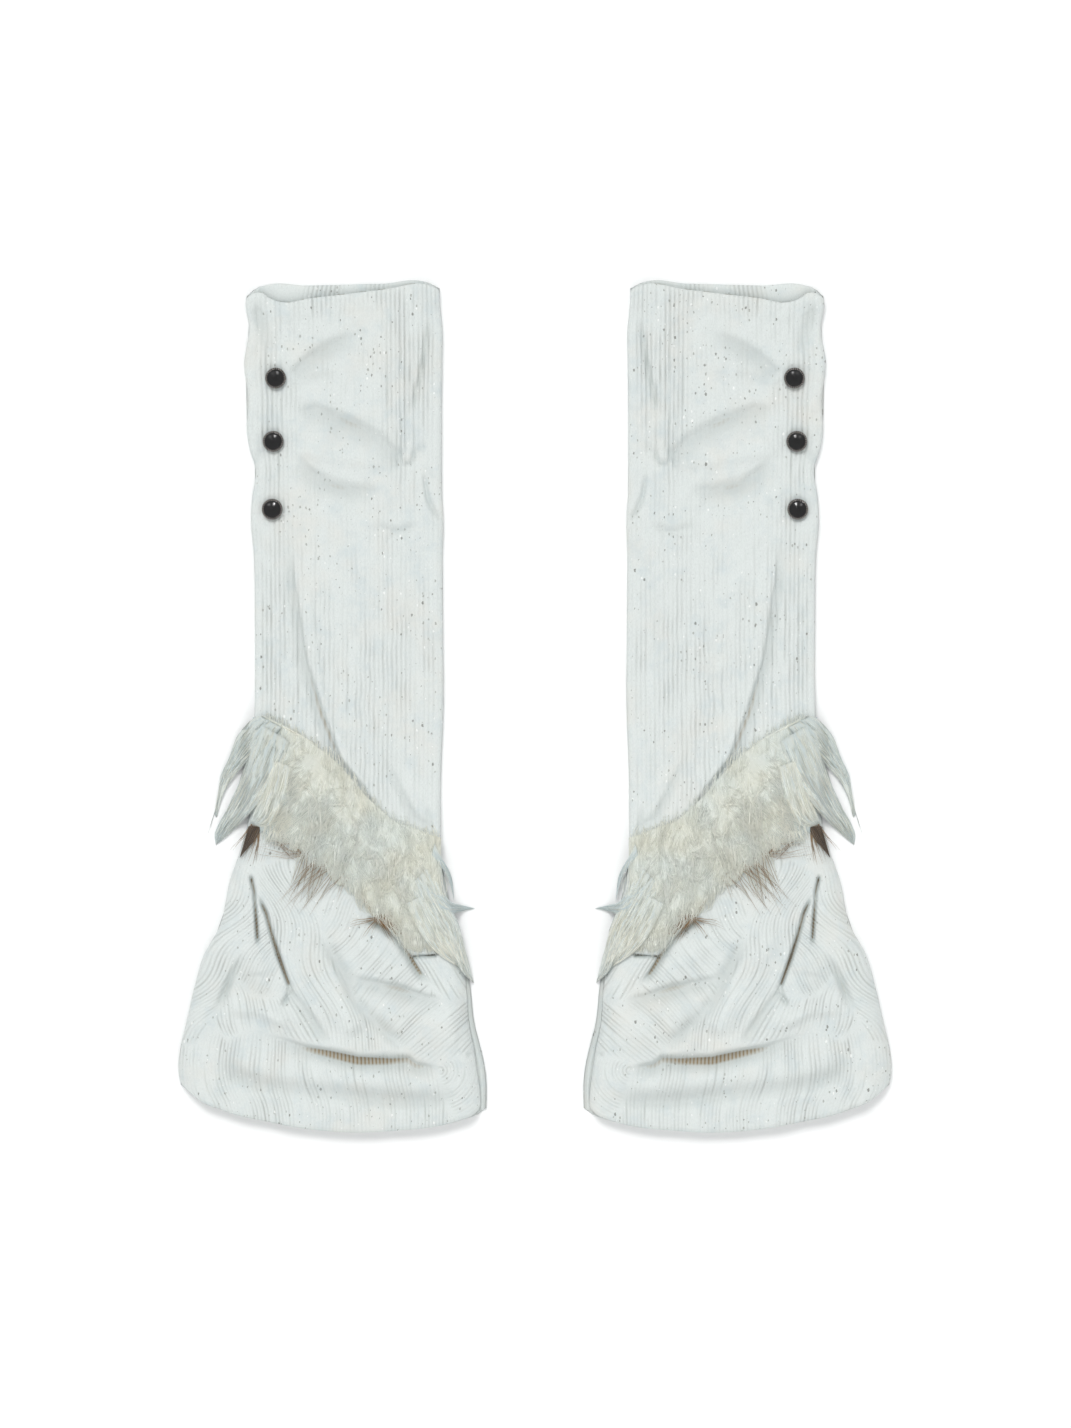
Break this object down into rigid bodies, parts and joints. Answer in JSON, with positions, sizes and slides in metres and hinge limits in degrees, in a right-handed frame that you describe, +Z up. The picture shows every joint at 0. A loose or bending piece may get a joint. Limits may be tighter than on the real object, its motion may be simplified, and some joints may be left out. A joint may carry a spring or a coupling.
{
  "type": "pair of flared leg warmers",
  "caption": "Flared wide-wale corduroy leg warmers laid flat, each with a slanting fur band and round buttons that gather its outer side.",
  "frame": {"origin": "on the surface that the pair lies on, under the middle of the pair", "axes": "+Y up the legs to the top openings, +Z up from the surface, +X across the pair to its right-hand one"},
  "size_m": [0.5042, 0.6007, 0.0235],
  "materials": {
    "corduroy": "wide-wale cotton corduroy, ecru",
    "fur": "long-pile fur, cream with brown roots",
    "button": "polished black with a gunmetal rim"
  },
  "bodies": {
    "root": {"left_tube_front": "corduroy", "left_tube_back": "corduroy", "left_bell_front": "corduroy", "left_bell_back": "corduroy", "left_fur_front": "fur", "left_fur_back": "fur", "left_button_1": "button", "left_button_2": "button", "left_button_3": "button", "right_tube_front": "corduroy", "right_tube_back": "corduroy", "right_bell_front": "corduroy", "right_bell_back": "corduroy", "right_fur_front": "fur", "right_fur_back": "fur", "right_button_1": "button", "right_button_2": "button", "right_button_3": "button"}
  },
  "joints": []
}
